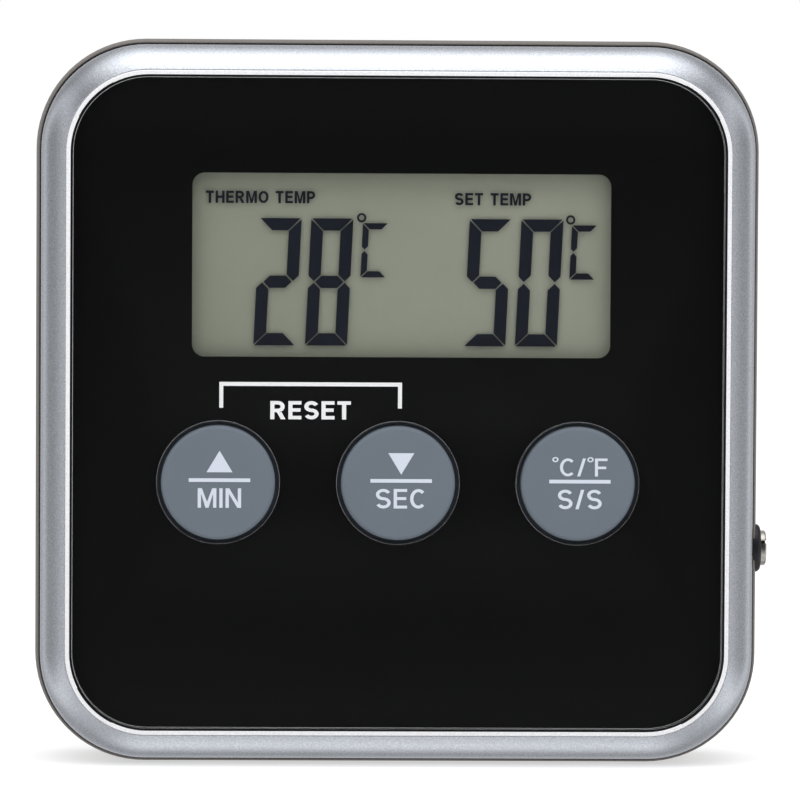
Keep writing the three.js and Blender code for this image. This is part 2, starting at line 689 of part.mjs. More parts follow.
// ---------------------------------------------------------------- stand and mode switch
function standLeg() {
  const { halfWidth, foot, front, back } = STAND;
  const { size, corner, z, depth } = STAND_PANEL;
  const leg = join(
    box(-halfWidth, halfWidth, front, back, foot, HINGE.z),
    rodX(HINGE.knuckle, -halfWidth, halfWidth, HINGE.y, HINGE.z, 16),
    rodX(HINGE.pin, -HINGE.pinEnd, HINGE.pinEnd, HINGE.y, HINGE.z, 16),
  );
  const recess = plate(roundedShape(size, size, corner, 0, z), back - depth, back + BEYOND, 2);
  return cut(leg, recess);
}

const knobRest = -SWITCH.travel / 2;

// A block of the mode switch, given by how far it reaches from the switch's middle.
function switchBlock(x, halfWidth, front, back, halfHeight) {
  const { z } = SWITCH;
  return box(x - halfWidth, x + halfWidth, front, back, z - halfHeight, z + halfHeight);
}

function modeSwitchBody() {
  const { halfWidth, halfHeight, back, slotHalf, slotFront } = SWITCH_BODY;
  return cut(
    switchBlock(0, halfWidth, BOARD.back, back, halfHeight),
    switchBlock(0, slotHalf, slotFront, back + BEYOND, LEVER.halfHeight + 0.2),
  );
}

function modeKnob() {
  const { halfWidth, halfHeight, back, ribDepth, ribHalf } = KNOB;
  const foot = KNOB_PLATE;
  const knob = join(
    switchBlock(knobRest, foot.halfWidth, foot.front, foot.back, foot.halfHeight),
    switchBlock(knobRest, halfWidth, foot.back - BEYOND, back, halfHeight),
  );
  const ribs = [-1, 0, 1].map((i) => {
    return switchBlock(knobRest + i, ribHalf, back - ribDepth, back + BEYOND, halfHeight + BEYOND);
  });
  return cut(knob, ...ribs);
}

const lever = switchBlock(knobRest, LEVER.halfWidth, LEVER.front, LEVER.back, LEVER.halfHeight);
add('stand_leg', standLeg(), CASE_GREY);
add('mode_switch_body', modeSwitchBody(), STEEL);
add('mode_switch_lever', lever, BLACK_PLASTIC);
add('mode_knob', modeKnob(), BLACK_PLASTIC);

export default thermometer;
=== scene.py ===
import json
import math

import bpy
import bmesh
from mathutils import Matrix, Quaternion, Vector
from mathutils.geometry import tessellate_polygon


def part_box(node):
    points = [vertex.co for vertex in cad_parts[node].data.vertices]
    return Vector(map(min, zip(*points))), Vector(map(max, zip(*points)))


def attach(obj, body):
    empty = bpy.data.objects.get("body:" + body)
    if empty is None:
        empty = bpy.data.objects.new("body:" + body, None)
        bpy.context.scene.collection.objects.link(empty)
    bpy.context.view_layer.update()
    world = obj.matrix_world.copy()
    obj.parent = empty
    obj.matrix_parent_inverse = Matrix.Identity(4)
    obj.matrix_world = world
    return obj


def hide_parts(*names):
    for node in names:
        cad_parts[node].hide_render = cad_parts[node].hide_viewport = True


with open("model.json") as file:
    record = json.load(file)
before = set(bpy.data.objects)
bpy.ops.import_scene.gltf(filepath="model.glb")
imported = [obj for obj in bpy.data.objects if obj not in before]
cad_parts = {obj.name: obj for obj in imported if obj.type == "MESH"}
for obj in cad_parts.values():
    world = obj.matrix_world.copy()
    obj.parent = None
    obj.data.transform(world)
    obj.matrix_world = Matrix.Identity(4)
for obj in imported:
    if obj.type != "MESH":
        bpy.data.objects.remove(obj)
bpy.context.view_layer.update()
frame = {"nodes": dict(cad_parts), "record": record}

# ---------------------------------------------------------------- places, from the frame
# Local places are in millimetres: x to the right and z up from the middle of the front
# panel, and d back from the rim of the front frame.
MM = 0.001
PANEL_LOW, PANEL_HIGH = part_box("front_panel")
CASE_LOW, CASE_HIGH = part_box("rear_case")
BEZEL_LOW, BEZEL_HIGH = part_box("front_bezel")
MIDDLE = (PANEL_LOW + PANEL_HIGH) / 2
RIM_Y = BEZEL_LOW.y


def place(x, d, z):
    """A local place as a point in the frame."""
    return Vector((MIDDLE.x + x * MM, RIM_Y + d * MM, MIDDLE.z + z * MM))


def local_box(node):
    """A CAD node's box as local ((x, d, z), (x, d, z))."""
    low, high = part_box(node)
    return tuple(
        ((p.x - MIDDLE.x) / MM, (p.y - RIM_Y) / MM, (p.z - MIDDLE.z) / MM) for p in (low, high)
    )


def local_middle(node):
    low, high = local_box(node)
    return tuple((a + b) / 2 for a, b in zip(low, high))


# ---------------------------------------------------------------- outlines
ARC_STEPS = 20


def arc(cx, cz, radius, start, turn, steps=ARC_STEPS):
    """Points of an arc that starts at angle start, in degrees, and runs through turn."""
    points = []
    for i in range(steps + 1):
        angle = math.radians(start + turn * i / steps)
        points.append((cx + radius * math.cos(angle), cz + radius * math.sin(angle)))
    return points


def rounded(width, height, corner, cx=0.0, cz=0.0, grow=0.0):
    """A rectangle with round corners, grown outwards by grow."""
    w, h, r = width / 2 + grow, height / 2 + grow, max(corner + grow, 0.01)
    points = []
    for side_x, side_z, start in ((1, 1, 0), (-1, 1, 90), (-1, -1, 180), (1, -1, 270)):
        points += arc(cx + side_x * (w - r), cz + side_z * (h - r), r, start, 90)
    return points


def circle(radius, cx=0.0, cz=0.0, grow=0.0, steps=96):
    return arc(cx, cz, radius + grow, 0, 360 - 360 / steps, steps - 1)


# ---------------------------------------------------------------- mesh makers
def mesh_object(name, points, faces):
    mesh = bpy.data.meshes.new(name)
    mesh.from_pydata([tuple(p) for p in points], [], faces)
    obj = bpy.data.objects.new(name, mesh)
    bpy.context.scene.collection.objects.link(obj)
    clean(obj)
    return obj


def clean(obj, merge=1e-7):
    """Joins doubled points and turns every face outwards."""
    bm = bmesh.new()
    bm.from_mesh(obj.data)
    bmesh.ops.remove_doubles(bm, verts=bm.verts, dist=merge)
    bmesh.ops.dissolve_degenerate(bm, edges=bm.edges, dist=merge)
    bmesh.ops.recalc_face_normals(bm, faces=bm.faces)
    bm.to_mesh(obj.data)
    bm.free()


def smooth(obj, angle=35):
    """Smooth shading, with edges sharper than angle kept sharp."""
    bm = bmesh.new()
    bm.from_mesh(obj.data)
    limit = math.radians(angle)
    for face in bm.faces:
        face.smooth = True
    for edge in bm.edges:
        edge.smooth = len(edge.link_faces) == 2 and edge.calc_face_angle(0) < limit
    bm.to_mesh(obj.data)
    bm.free()
    return obj


def loft(name, rings, caps=True, closed=False):
    """A skin over rings of equally many (x, d, z) points."""
    count = len(rings[0])
    points = [place(*p) for ring in rings for p in ring]
    faces = []
    for i in range(len(rings) if closed else len(rings) - 1):
        a, b = i * count, ((i + 1) % len(rings)) * count
        for j in range(count):
            k = (j + 1) % count
            faces.append((a + j, a + k, b + k, b + j))
    if caps:
        faces.append(tuple(range(count)))
        faces.append(tuple(range(len(points) - count, len(points))))
    return mesh_object(name, points, faces)


def edge_profile(front, back, edge, steps=3):
    """(inset, d) pairs from the front face round both edges to the back face."""
    turn = []
    for i in range(steps + 1):
        angle = math.pi / 2 * i / steps
        turn.append((edge * (1 - math.sin(angle)), edge * (1 - math.cos(angle))))
    return [(i, front + d) for i, d in turn] + [(i, back - d) for i, d in reversed(turn)]


def slab(name, outer, holes, front, back, edge=0.05, steps=3):
    """A plate with holes and rounded edges. Outlines are functions of how far they grow."""
    profile = edge_profile(front, back, edge, steps)
    outlines = [(outer, -1)] + [(hole, 1) for hole in holes]
    counts = [len(outline(0)) for outline, _ in outlines]
    size = sum(counts)
    points, faces = [], []
    for inset, d in profile:
        for outline, side in outlines:
            points += [place(x, d, z) for x, z in outline(side * inset)]
    for level in range(len(profile) - 1):
        start = level * size
        for count in counts:
            for j in range(count):
                k = (j + 1) % count
                faces.append((start + j, start + k, start + size + k, start + size + j))
            start += count
    flat = [[Vector((x, z, 0)) for x, z in outline(side * profile[0][0])]
            for outline, side in outlines]
    triangles = tessellate_polygon(flat)
    last = (len(profile) - 1) * size
    faces += [tuple(t) for t in triangles]
    faces += [tuple(last + i for i in t) for t in triangles]
    return mesh_object(name, points, faces)


def turned(name, profile, centre, axis="d", steps=96):
    """A turned solid. The profile holds (radius, place along the axis) pairs, and
    it starts and ends on the axis or closes on itself."""
    rings = []
    a, b = centre
    for radius, along in profile:
        ring = []
        for u, v in circle(max(radius, 1e-4), a, b, steps=steps):
            ring.append((u, along, v) if axis == "d" else (along, u, v))
        rings.append(ring)
    solid_end = profile[0][0] < 1e-3 and profile[-1][0] < 1e-3
    obj = loft(name, rings, caps=solid_end, closed=not solid_end)
    clean(obj, 2e-7)
    return obj


def block(x0, x1, d0, d1, z0, z1, name="tool"):
    corners = [place(x, d, z) for x in (x0, x1) for d in (d0, d1) for z in (z0, z1)]
    faces = [(0, 1, 3, 2), (4, 6, 7, 5), (0, 4, 5, 1), (2, 3, 7, 6), (0, 2, 6, 4), (1, 5, 7, 3)]
    return mesh_object(name, corners, faces)


def rod(radius, d0, d1, x, z, steps=48):
    return turned("tool", [(0, d0), (radius, d0), (radius, d1), (0, d1)], (x, z), steps=steps)


def rod_x(radius, x0, x1, d, z, steps=48):
    profile = [(0, x0), (radius, x0), (radius, x1), (0, x1)]
    return turned("tool", profile, (d, z), axis="x", steps=steps)


def apply_modifiers(obj):
    graph = bpy.context.evaluated_depsgraph_get()
    mesh = bpy.data.meshes.new_from_object(obj.evaluated_get(graph))
    obj.modifiers.clear()
    obj.data = mesh


def boolean(obj, tools, operation):
    """Joins tools to obj, cuts them from it or keeps what they share, and removes them."""
    for tool in tools:
        change = obj.modifiers.new("change", "BOOLEAN")
        change.operation = operation
        change.solver = "EXACT"
        change.object = tool
        apply_modifiers(obj)
        bpy.data.objects.remove(tool, do_unlink=True)
    clean(obj)
    return obj


def soften(obj, width, segments=2, angle=40):
    """Rounds the sharp edges by width, in millimetres."""
    bevel = obj.modifiers.new("edges", "BEVEL")
    bevel.width = width * MM
    bevel.segments = segments
    bevel.limit_method = "ANGLE"
    bevel.angle_limit = math.radians(angle)
    bevel.use_clamp_overlap = True
    bevel.harden_normals = False
    return obj


# ---------------------------------------------------------------- materials
def principled(name):
    mat = bpy.data.materials.new(name)
    mat.use_nodes = True
    tree = mat.node_tree
    return mat, tree, tree.nodes["Principled BSDF"]


def noise(tree, scale, detail=3.0, roughness=0.55):
    coords = tree.nodes.new("ShaderNodeTexCoord")
    node = tree.nodes.new("ShaderNodeTexNoise")
    node.inputs["Scale"].default_value = scale
    node.inputs["Detail"].default_value = detail
    node.inputs["Roughness"].default_value = roughness
    tree.links.new(coords.outputs["Object"], node.inputs["Vector"])
    return node.outputs["Fac"]


def spread(tree, value, low, high, start=0.3, end=0.7):
    """value, from start to end, as a number from low to high."""
    node = tree.nodes.new("ShaderNodeMapRange")
    node.inputs["From Min"].default_value = start
    node.inputs["From Max"].default_value = end
    node.inputs["To Min"].default_value = low
    node.inputs["To Max"].default_value = high
    tree.links.new(value, node.inputs["Value"])
    return node.outputs["Result"]


def tint(tree, factor, first, second):
    """A mix of two colours. Each is a fixed colour or another node's output."""
    node = tree.nodes.new("ShaderNodeMix")
    node.data_type = "RGBA"
    for name, colour in (("A", first), ("B", second)):
        if isinstance(colour, tuple):
            node.inputs[name].default_value = (*colour, 1)
        else:
            tree.links.new(colour, node.inputs[name])
    tree.links.new(factor, node.inputs["Factor"])
    return node.outputs["Result"]


def relief(tree, shader, height, distance, strength=1.0):
    bump = tree.nodes.new("ShaderNodeBump")
    bump.inputs["Distance"].default_value = distance
    bump.inputs["Strength"].default_value = strength
    tree.links.new(height, bump.inputs["Height"])
    tree.links.new(bump.outputs["Normal"], shader.inputs["Normal"])


def surface(name, colour, rough=0.45, metal=0.0, grain=6000, vary=0.08, rough_vary=0.06,
            bump=0.0, coat=0.0, specular=0.5, cloud=120):
    """A moulded, plated or painted surface: cloudy tone, grain in its gloss, and relief."""
    mat, tree, shader = principled(name)
    shader.inputs["Metallic"].default_value = metal
    shader.inputs["Coat Weight"].default_value = coat
    shader.inputs["Coat Roughness"].default_value = 0.12
    shader.inputs["Specular IOR Level"].default_value = specular
    dark = tuple(c * (1 - vary) for c in colour)
    light = tuple(min(c * (1 + vary), 1.0) for c in colour)
    fine = noise(tree, grain, 2.0)
    mixed = math_node(tree, "MULTIPLY_ADD", noise(tree, cloud, 4.0), 0.5,
                      math_node(tree, "MULTIPLY", fine, 0.5))
    toned = tint(tree, spread(tree, mixed, 0, 1), dark, light)
    tree.links.new(toned, shader.inputs["Base Color"])
    gloss = spread(tree, fine, max(rough - rough_vary, 0.02), rough + rough_vary)
    tree.links.new(gloss, shader.inputs["Roughness"])
    if bump:
        relief(tree, shader, fine, bump * MM)
    return mat


def math_node(tree, operation, a, b=None, c=None):
    """A math node's output. Its inputs are numbers or other nodes' outputs."""
    node = tree.nodes.new("ShaderNodeMath")
    node.operation = operation
    for socket, value in zip(node.inputs, (a, b, c)):
        if value is None:
            continue
        if isinstance(value, (int, float)):
            socket.default_value = value
        else:
            tree.links.new(value, socket)
    return node.outputs[0]


def mixed_shader(tree, share, first, second):
    node = tree.nodes.new("ShaderNodeMixShader")
    tree.links.new(share, node.inputs["Fac"])
    tree.links.new(first, node.inputs[1])
    tree.links.new(second, node.inputs[2])
    return node.outputs[0]


def split_axes(tree, vector):
    """The x, y and z of a vector."""
    axes = tree.nodes.new("ShaderNodeSeparateXYZ")
    tree.links.new(vector, axes.inputs[0])
    return axes.outputs


def point_axes(tree):
    return split_axes(tree, tree.nodes.new("ShaderNodeTexCoord").outputs["Object"])


def normal_axes(tree):
    return split_axes(tree, tree.nodes.new("ShaderNodeNewGeometry").outputs["True Normal"])


def front_facing(tree):
    """1 where a face looks to the front or the back, and 0 where it looks sideways."""
    return math_node(tree, "ABSOLUTE", normal_axes(tree)["Y"])


def from_middle(tree):
    """How far a point is from the middle of the face, along x or z, whichever is more."""
    x, _, z = point_axes(tree)
    across = math_node(tree, "ABSOLUTE", math_node(tree, "SUBTRACT", x, MIDDLE.x))
    along = math_node(tree, "ABSOLUTE", math_node(tree, "SUBTRACT", z, MIDDLE.z))
    return math_node(tree, "MAXIMUM", across, along)


INWARD = -20  # a face looks inwards when its place times its normal is below this, in mm
KEY_HOLES_REACH = 28  # the key holes and the window lie nearer the middle than this, in mm


def inward_facing(tree):
    """1 on faces that look towards the middle of the front, such as the panel's recess."""
    normal, point = normal_axes(tree), point_axes(tree)
    x = math_node(tree, "SUBTRACT", point["X"], MIDDLE.x)
    z = math_node(tree, "SUBTRACT", point["Z"], MIDDLE.z)
    across = math_node(tree, "MULTIPLY", x, normal["X"])
    outward = math_node(tree, "MULTIPLY_ADD", z, normal["Z"], across)
    return math_node(tree, "LESS_THAN", outward, INWARD * MM)


def see_through(name, tone, gloss=0.04, rough=0.02, smudge=0.02, edge_glint=0.0):
    """A clear sheet that faces the front: it lets light straight through and mirrors a little of
    it, more at a slant. Its slanted edges get a pale matt colour, less in the holes, as a painted
    glint of the polished edges."""
    mat, tree, shader = principled(name)
    tree.nodes.remove(shader)
    clear = tree.nodes.new("ShaderNodeBsdfTransparent")
    clear.inputs["Color"].default_value = (*tone, 1)
    mirror = tree.nodes.new("ShaderNodeBsdfGlossy")
    patches = spread(tree, noise(tree, 90, 5.0), rough, rough + smudge)
    tree.links.new(patches, mirror.inputs["Roughness"])
    weight = tree.nodes.new("ShaderNodeLayerWeight")
    slant = math_node(tree, "POWER", weight.outputs["Facing"], 5)
    share = math_node(tree, "MULTIPLY_ADD", slant, 1 - gloss, gloss)
    sheet = mixed_shader(tree, share, clear.outputs[0], mirror.outputs[0])
    if edge_glint:
        # painted glint: the slanted edges get a pale matt colour that stands in for the glints of
        # the polished edges
        edge = tree.nodes.new("ShaderNodeBsdfDiffuse")
        edge.inputs["Color"].default_value = (0.6, 0.6, 0.62, 1)
        slanted = math_node(tree, "COMPARE", front_facing(tree), 0.6, 0.3)
        inside = math_node(tree, "LESS_THAN", from_middle(tree), KEY_HOLES_REACH * MM)
        glint_share = math_node(tree, "MULTIPLY_ADD", inside, -0.6 * edge_glint, edge_glint)
        glint_share = math_node(tree, "MULTIPLY", glint_share, slanted)
        sheet = mixed_shader(tree, glint_share, sheet, edge.outputs[0])
    tree.links.new(sheet, tree.nodes["Material Output"].inputs["Surface"])
    return mat


def silver_paint():
    """Silver lacquer with fine flakes under a satin coat. The raised rim round the panel is pale
    and matt. The panel's recess, the floor of the gap round the panel and the other deep faces
    that look straight front or back are painted near black and matt as painted shade."""
    mat, tree, shader = principled("silver_paint")
    shader.inputs["Coat Weight"].default_value = 0.25
    shader.inputs["Coat Roughness"].default_value = 0.2
    flakes = tree.nodes.new("ShaderNodeTexVoronoi")
    flakes.inputs["Scale"].default_value = 5500
    coords = tree.nodes.new("ShaderNodeTexCoord")
    tree.links.new(coords.outputs["Object"], flakes.inputs["Vector"])
    depth = split_axes(tree, coords.outputs["Object"])["Y"]
    rim = spread(tree, depth, 1, 0, RIM_Y + 0.34 * MM, RIM_Y + 0.40 * MM)
    sparkle = spread(tree, flakes.outputs["Distance"], 0, 1, 0.1, 0.7)
    toned = tint(tree, sparkle, (0.58, 0.602, 0.65), (0.73, 0.753, 0.805))
    pale = tint(tree, sparkle, (0.66, 0.66, 0.675), (0.78, 0.78, 0.795))
    # painted shade: faces in the panel's recess and deep flat faces get a near-black matt colour
    # where the real paint lies in shadow
    deep = math_node(tree, "GREATER_THAN", depth, RIM_Y + MM)
    flat = math_node(tree, "GREATER_THAN", front_facing(tree), 0.95)
    floor = math_node(tree, "MULTIPLY", deep, flat)
    painted_shade = math_node(tree, "MAXIMUM", inward_facing(tree), floor)
    seen = tint(tree, painted_shade, tint(tree, rim, toned, pale), (0.02, 0.02, 0.022))
    tree.links.new(seen, shader.inputs["Base Color"])
    matt = math_node(tree, "MAXIMUM", rim, painted_shade)
    tree.links.new(spread(tree, matt, 0.85, 0.0, 0, 1), shader.inputs["Metallic"])
    gloss = spread(tree, noise(tree, 5000, 3.0), 0.25, 0.35)
    tree.links.new(gloss, shader.inputs["Roughness"])
    relief(tree, shader, flakes.outputs["Distance"], 0.012 * MM, 0.55)
    return mat


def display_film():
    """The display's reflector: grey-green, with a fine sparkle, a cloudy tone, and lighter towards
    the right.
    """
    mat, tree, shader = principled("display_film")
    shader.inputs["Roughness"].default_value = 0.6
    shader.inputs["Specular IOR Level"].default_value = 0.2
    grain = noise(tree, 5200, 2.0, 0.7)
    cloud = noise(tree, 110, 3.0)
    share = math_node(tree, "MULTIPLY_ADD", grain, 0.4, math_node(tree, "MULTIPLY", cloud, 0.3))
    low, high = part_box("lcd_polariser")
    # the film is lighter towards the right
    across = spread(tree, point_axes(tree)["X"], 0, 0.3, low.x, high.x)
    toned = tint(tree, spread(tree, math_node(tree, "ADD", share, across), 0, 1, 0.15, 0.85),
                 (0.235, 0.256, 0.196), (0.325, 0.338, 0.27))
    tree.links.new(toned, shader.inputs["Base Color"])
    return mat


CELL_BAND = 12  # the length of the sleeve's bright end, in millimetres


def cell_sleeve():
    """The battery's sleeve: a copper-coloured end band and a dark body."""
    mat, tree, shader = principled("cell_sleeve")
    shader.inputs["Metallic"].default_value = 0.5
    _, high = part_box("battery_cell")
    band = math_node(tree, "GREATER_THAN", point_axes(tree)["X"], high.x - CELL_BAND * MM)
    toned = tint(tree, band, (0.012, 0.013, 0.015), (0.52, 0.27, 0.10))
    tree.links.new(toned, shader.inputs["Base Color"])
    gloss = spread(tree, noise(tree, 900, 3.0), 0.22, 0.34)
    tree.links.new(gloss, shader.inputs["Roughness"])
    return mat


def dress(obj, material):
    obj.data.materials.clear()
    obj.data.materials.append(material)


MATERIALS = {
    "silver_paint": silver_paint(),
    # the last number is the painted glint on the panel's slanted edges
    "clear_panel": see_through("clear_panel", (0.97, 0.97, 0.97), 0.035, 0.015, edge_glint=0.6),
    "black_print": surface("black_print", (0.0035, 0.0035, 0.004), 0.5, grain=4000, specular=0.1),
    "white_print": surface("white_print", (0.97, 0.98, 0.99), 0.5, grain=9000, vary=0.03),
    "key_print": surface("key_print", (0.56, 0.60, 0.68), 0.5, grain=9000, vary=0.04),
    "adhesive": surface("adhesive", (0.02, 0.02, 0.02), 0.9, bump=0.02),
    "key_grey": surface("key_grey", (0.123, 0.146, 0.174), 0.55, grain=9000, vary=0.05,
                        bump=0.006, specular=0.35),
    "case_grey": surface("case_grey", (0.16, 0.145, 0.135), 0.5, grain=5000, vary=0.07,
                         bump=0.012),
    "lcd_film": display_film(),
    "lcd_segment": surface("lcd_segment", (0.010, 0.013, 0.022), 0.4, grain=5000, vary=0.2,
                           specular=0.2),
    "lcd_glass": see_through("lcd_glass", (0.96, 0.985, 0.965), 0.01, 0.05),
    "white_plastic": surface("white_plastic", (0.72, 0.72, 0.69), 0.5, bump=0.006),
    "black_plastic": surface("black_plastic", (0.012, 0.012, 0.014), 0.42, bump=0.006),
    "rubber": surface("rubber", (0.04, 0.03, 0.03), 0.8, bump=0.01),
    "green_board": surface("green_board", (0.012, 0.11, 0.035), 0.35, grain=2500, vary=0.2,
                           bump=0.01, coat=0.4),
    "epoxy": surface("epoxy", (0.006, 0.006, 0.007), 0.25, cloud=600),
    "steel": surface("steel", (0.56, 0.57, 0.58), 0.3, 1.0, grain=4000, bump=0.004),
    "nickel": surface("nickel", (0.86, 0.81, 0.74), 0.24, 1.0, grain=3500, bump=0.006),
    "brass": surface("brass", (0.62, 0.42, 0.16), 0.28, 1.0, grain=4000, bump=0.003),
    "piezo": surface("piezo", (0.72, 0.66, 0.52), 0.55, bump=0.006),
    "ferrite": surface("ferrite", (0.045, 0.045, 0.05), 0.38, 0.3, grain=3500, bump=0.01),
    "cell_label": cell_sleeve(),
    "red_wire": surface("red_wire", (0.42, 0.02, 0.015), 0.4),
}


def finish_piece(obj, body, slot, replaced=(), material=None):
    dress(obj, MATERIALS[material or slot])
    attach(obj, body)
    if replaced:
        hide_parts(*replaced)
    return obj


# ---------------------------------------------------------------- front frame
BEZEL_HALF = (BEZEL_HIGH.x - BEZEL_LOW.x) / 2 / MM
BEZEL_CORNER = 10.1
BEZEL_BACK = 4.0
RIM_INNER, RIM_CORNER = 31.38, 7.43
TONGUE_HALF, TONGUE_INNER, TONGUE_BACK = 32.6, 31.4, 6.2
FLOOR_FRONT, FLOOR_BACK = 1.65, 3.05
JACK_PLAY = 0.3
KEYS = ("min", "sec", "start")
KEY_HOLE = 5.86
WINDOW_W, WINDOW_H, WINDOW_CORNER = 40.1, 17.6, 1.2
WINDOW_X, _, WINDOW_Z = local_middle("lcd_polariser")


def key_place(key):
    x, _, z = local_middle("button_" + key)
    return x, z


def window(grow=0.0):
    return rounded(WINDOW_W, WINDOW_H, WINDOW_CORNER, WINDOW_X, WINDOW_Z, grow)


def key_outline(key, radius):
    x, z = key_place(key)
    return lambda grow: circle(radius, x, z, grow)


def bezel_sections():
    """(half width, corner, d) round the frame's section, from the outer back edge."""
    shoulder = (31.93, 0.42)
    bulge = 0.36  # how far the slope swells out from a straight line, in millimetres
    sections = [(BEZEL_HALF - 0.12, BEZEL_BACK), (BEZEL_HALF, BEZEL_BACK - 0.12)]
    steps = 14
    (h0, d0), (h1, d1) = (BEZEL_HALF, 3.2), shoulder
    length = math.hypot(h1 - h0, d1 - d0)
    out_h, out_d = (d0 - d1) / length, -(h0 - h1) / length
    for i in range(steps + 1):
        t = i / steps
        swell = bulge * 4 * t * (1 - t) * (1.15 - 0.3 * t)
        sections.append((h0 + (h1 - h0) * t + out_h * swell, d0 + (d1 - d0) * t + out_d * swell))
    sections += [(31.87, 0.44), (31.83, 0.36), (31.81, 0.10), (31.78, 0.03), (31.73, 0.0)]
    sections += [(31.45, 0.0), (31.40, 0.03), (RIM_INNER, 0.10), (RIM_INNER, FLOOR_FRONT + 0.4)]
    sections += [(TONGUE_INNER, FLOOR_BACK), (TONGUE_INNER, TONGUE_BACK - 0.1)]
    sections += [(TONGUE_INNER + 0.1, TONGUE_BACK), (TONGUE_HALF - 0.1, TONGUE_BACK)]
    sections += [(TONGUE_HALF, TONGUE_BACK - 0.1), (TONGUE_HALF, BEZEL_BACK)]
    return sections


def bezel_corner(half):
    """The corner's radius where the frame is half wide: it shrinks towards the panel."""
    share = (BEZEL_HALF - half) / (BEZEL_HALF - RIM_INNER)
    return BEZEL_CORNER + (RIM_CORNER - BEZEL_CORNER) * share


def make_bezel():
    rings = []
    for half, d in bezel_sections():
        outline = rounded(2 * half, 2 * half, bezel_corner(half))
        rings.append([(x, d, z) for x, z in outline])
    ring = loft("front_frame", rings, caps=False, closed=True)
    holes = [lambda grow: window(grow + 0.95)]
    holes += [key_outline(key, KEY_HOLE + 0.1) for key in KEYS]
    width = 2 * RIM_INNER + 0.8
    floor = slab("floor", lambda g: rounded(width, width, RIM_CORNER + 0.4, grow=g), holes,
                 FLOOR_FRONT, FLOOR_BACK, 0.1)
    posts = [rod(1.9, FLOOR_BACK - 0.3, 8, *local_xz(f"board_screw_{i}")) for i in range(1, 5)]
    posts += [rod(2.6, FLOOR_BACK - 0.3, 11, *local_xz(f"case_screw_{i}")) for i in range(1, 5)]
    bores = [rod(0.8, 5, 8.3, *local_xz(f"board_screw_{i}")) for i in range(1, 5)]
    bores += [rod(1.0, 5, 11.3, *local_xz(f"case_screw_{i}")) for i in range(1, 5)]
    (_, _, foot), (_, _, top) = local_box("jack_body")
    notch = block(TONGUE_INNER - 1, TONGUE_HALF + 1, BEZEL_BACK + 0.01, TONGUE_BACK + 1,
                  foot - JACK_PLAY, top + JACK_PLAY)
    boolean(ring, [floor, *posts], "UNION")
    boolean(ring, [notch, *bores], "DIFFERENCE")
    smooth(ring, 28)
    return finish_piece(ring, "case", "silver_paint", ["front_bezel"])


def local_xz(node):
    x, _, z = local_middle(node)
    return x, z


# ---------------------------------------------------------------- front panel
PANEL_CORNER = 7.25
LEGEND_SHIFT = {"min": 0.14, "sec": 0.29, "start": 0.19}  # the print isn't quite centred
PRINT_GAP = 0.02


def panel_slab(name, inset, window_grow, hole_grow, front, back, edge):
    half_width = (PANEL_HIGH.x - PANEL_LOW.x) / MM - inset
    holes = [key_outline(key, KEY_HOLE + hole_grow) for key in KEYS]
    if window_grow is not None:
        holes.append(lambda grow: window(grow + window_grow))
    corner = PANEL_CORNER - inset / 2
    return slab(name, lambda g: rounded(half_width, half_width, corner, grow=g), holes,
                front, back, edge)


def make_panel():
    (_, front, _), (_, back, _) = local_box("front_panel")
    sheet = smooth(panel_slab("panel_sheet", 0, None, 0, front, back, 0.1))
    finish_piece(sheet, "case", "clear_panel", ["front_panel"])
    (_, front, _), (_, back, _) = local_box("panel_print")
    film = smooth(panel_slab("mask_film", 0.06, 0, 0.05, front + PRINT_GAP, back, 0.02))
    finish_piece(film, "case", "black_print", ["panel_print"])
    (_, front, _), (_, back, _) = local_box("panel_adhesive")
    glue = smooth(panel_slab("glue_sheet", 1.2, 0.95, 0.3, front, back, 0.02))
    finish_piece(glue, "case", "adhesive", ["panel_adhesive"])


# ---------------------------------------------------------------- print and legends
def flat_shape(name, outline, d, thick=0.012):
    """A thin solid of an outline given as (x, z) points."""
    points = [place(x, d + k * thick, z) for k in (-0.5, 0.5) for x, z in outline]
    count = len(outline)
    faces = [tuple(range(count)), tuple(range(count, 2 * count))]
    faces += [(j, (j + 1) % count, count + (j + 1) % count, count + j) for j in range(count)]
    return mesh_object(name, points, faces)


def joined(name, parts):
    """One object holding the given objects' meshes."""
    bm = bmesh.new()
    for part in parts:
        bm.from_mesh(part.data)
        bpy.data.objects.remove(part, do_unlink=True)
    mesh = bpy.data.meshes.new(name)
    bm.to_mesh(mesh)
    bm.free()
    obj = bpy.data.objects.new(name, mesh)
    bpy.context.scene.collection.objects.link(obj)
    return obj


def rectangle(x0, x1, z0, z1):
    return [(x0, z0), (x1, z0), (x1, z1), (x0, z1)]


def thick(path, stroke):
    """The outline of a stroke along a path, with mitred corners and square ends."""
    points = [Vector(p) for p in path]
    normals = []
    for a, b in zip(points, points[1:]):
        along = (b - a).normalized()
        normals.append(Vector((-along.y, along.x)))
    left, right = [], []
    for i, point in enumerate(points):
        n1, n2 = normals[max(i - 1, 0)], normals[min(i, len(normals) - 1)]
        mitre = (n1 + n2) / (1 + n1.dot(n2)) * (stroke / 2)
        left.append(tuple(point + mitre))
        right.append(tuple(point - mitre))
    return left + right[::-1]


def oval(cx, cz, rx, rz, start, turn, steps=18):
    """Points of an elliptical arc."""
    return [(cx + rx * u, cz + rz * v) for u, v in arc(0, 0, 1, start, turn, steps)]


def bowl(s, width, low):
    """The stem, top and bowl of an R or a P. The bowl comes back to the stem at low."""
    top = 1 - s / 2
    radius = (top - low) / 2
    turn = arc(width - s / 2 - radius, (top + low) / 2, radius, 90, -180, 12)
    return thick([(s / 2, 0), (s / 2, top), *turn, (s, low)], s)


def ring_halves(cx, cz, rx, rz, s):
    return [thick(oval(cx, cz, rx, rz, start, 180), s) for start in (90, 270)]


